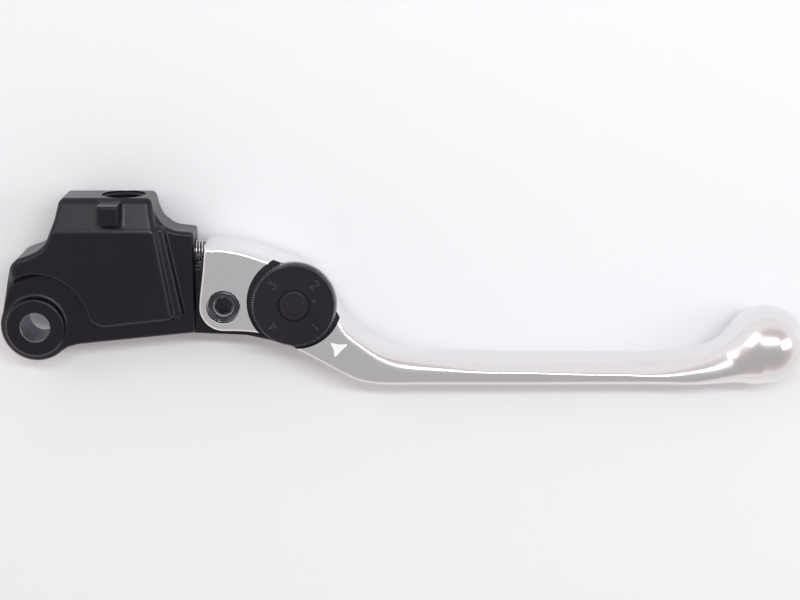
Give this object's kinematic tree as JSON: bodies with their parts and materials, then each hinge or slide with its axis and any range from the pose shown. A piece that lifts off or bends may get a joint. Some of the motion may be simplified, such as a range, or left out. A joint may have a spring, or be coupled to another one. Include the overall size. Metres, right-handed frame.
{
  "type": "clutch lever",
  "caption": "Motorcycle clutch hand lever: black pivot adapter with a push rod bore, a sprung hinge, a satin silver blade with a ball end and a knurled reach dial.",
  "frame": {"origin": "centre of the main pivot bore, half-way along the bore", "axes": "+Z along the pivot axis towards the dial's side; +X towards the ball tip, square to the push rod bore; +Y away from the handlebar grip, out of the push rod bore's mouth"},
  "size_m": [0.1946, 0.0465, 0.0217],
  "materials": {
    "adapter_black": "semi-gloss black coating on aluminium",
    "satin_aluminium": "satin, clear coated",
    "dial_black": "matte black, knurled rim",
    "cap_black": "matte black",
    "plain_steel": "plain machined",
    "spring_steel": "bright drawn wire",
    "dark_steel": "black oxide",
    "bronze": "sintered bronze",
    "white_paint": "filled paint mark"
  },
  "bodies": {
    "adapter": {"adapter_body": "adapter_black", "pivot_bush": "plain_steel", "pushrod_cup": "plain_steel", "cam_pad": "plain_steel", "hinge_bush": "bronze", "hinge_washers": "plain_steel", "reach_spring": "spring_steel"},
    "lever": {"lever_blade": "satin_aluminium", "hinge_screw": "dark_steel", "hinge_nut": "plain_steel", "index_mark": "white_paint", "detent_ball": "plain_steel", "detent_spring": "spring_steel"},
    "dial": {"dial_cap": "dial_black", "dial_shaft": "dark_steel", "reach_cam": "plain_steel", "dial_screw": "plain_steel", "centre_cap": "cap_black", "thrust_washer": "plain_steel", "retaining_ring": "dark_steel"}
  },
  "joints": [
    {"name": "reach", "type": "hinge", "parent": "adapter", "child": "lever", "pos_m": [0.0453, 0.0053, 0], "axis": [0, 0, 1], "range_deg": [0, 5.4], "deforming": ["reach_spring"]},
    {"name": "dial_turn", "type": "hinge", "parent": "lever", "child": "dial", "pos_m": [0.0623, 0.0064, 0], "axis": [0, 0, -1], "range_deg": [0, 270]}
  ],
  "couplings": [
    {"joint": "dial_turn", "follows": "reach", "ratio": 50}
  ]
}
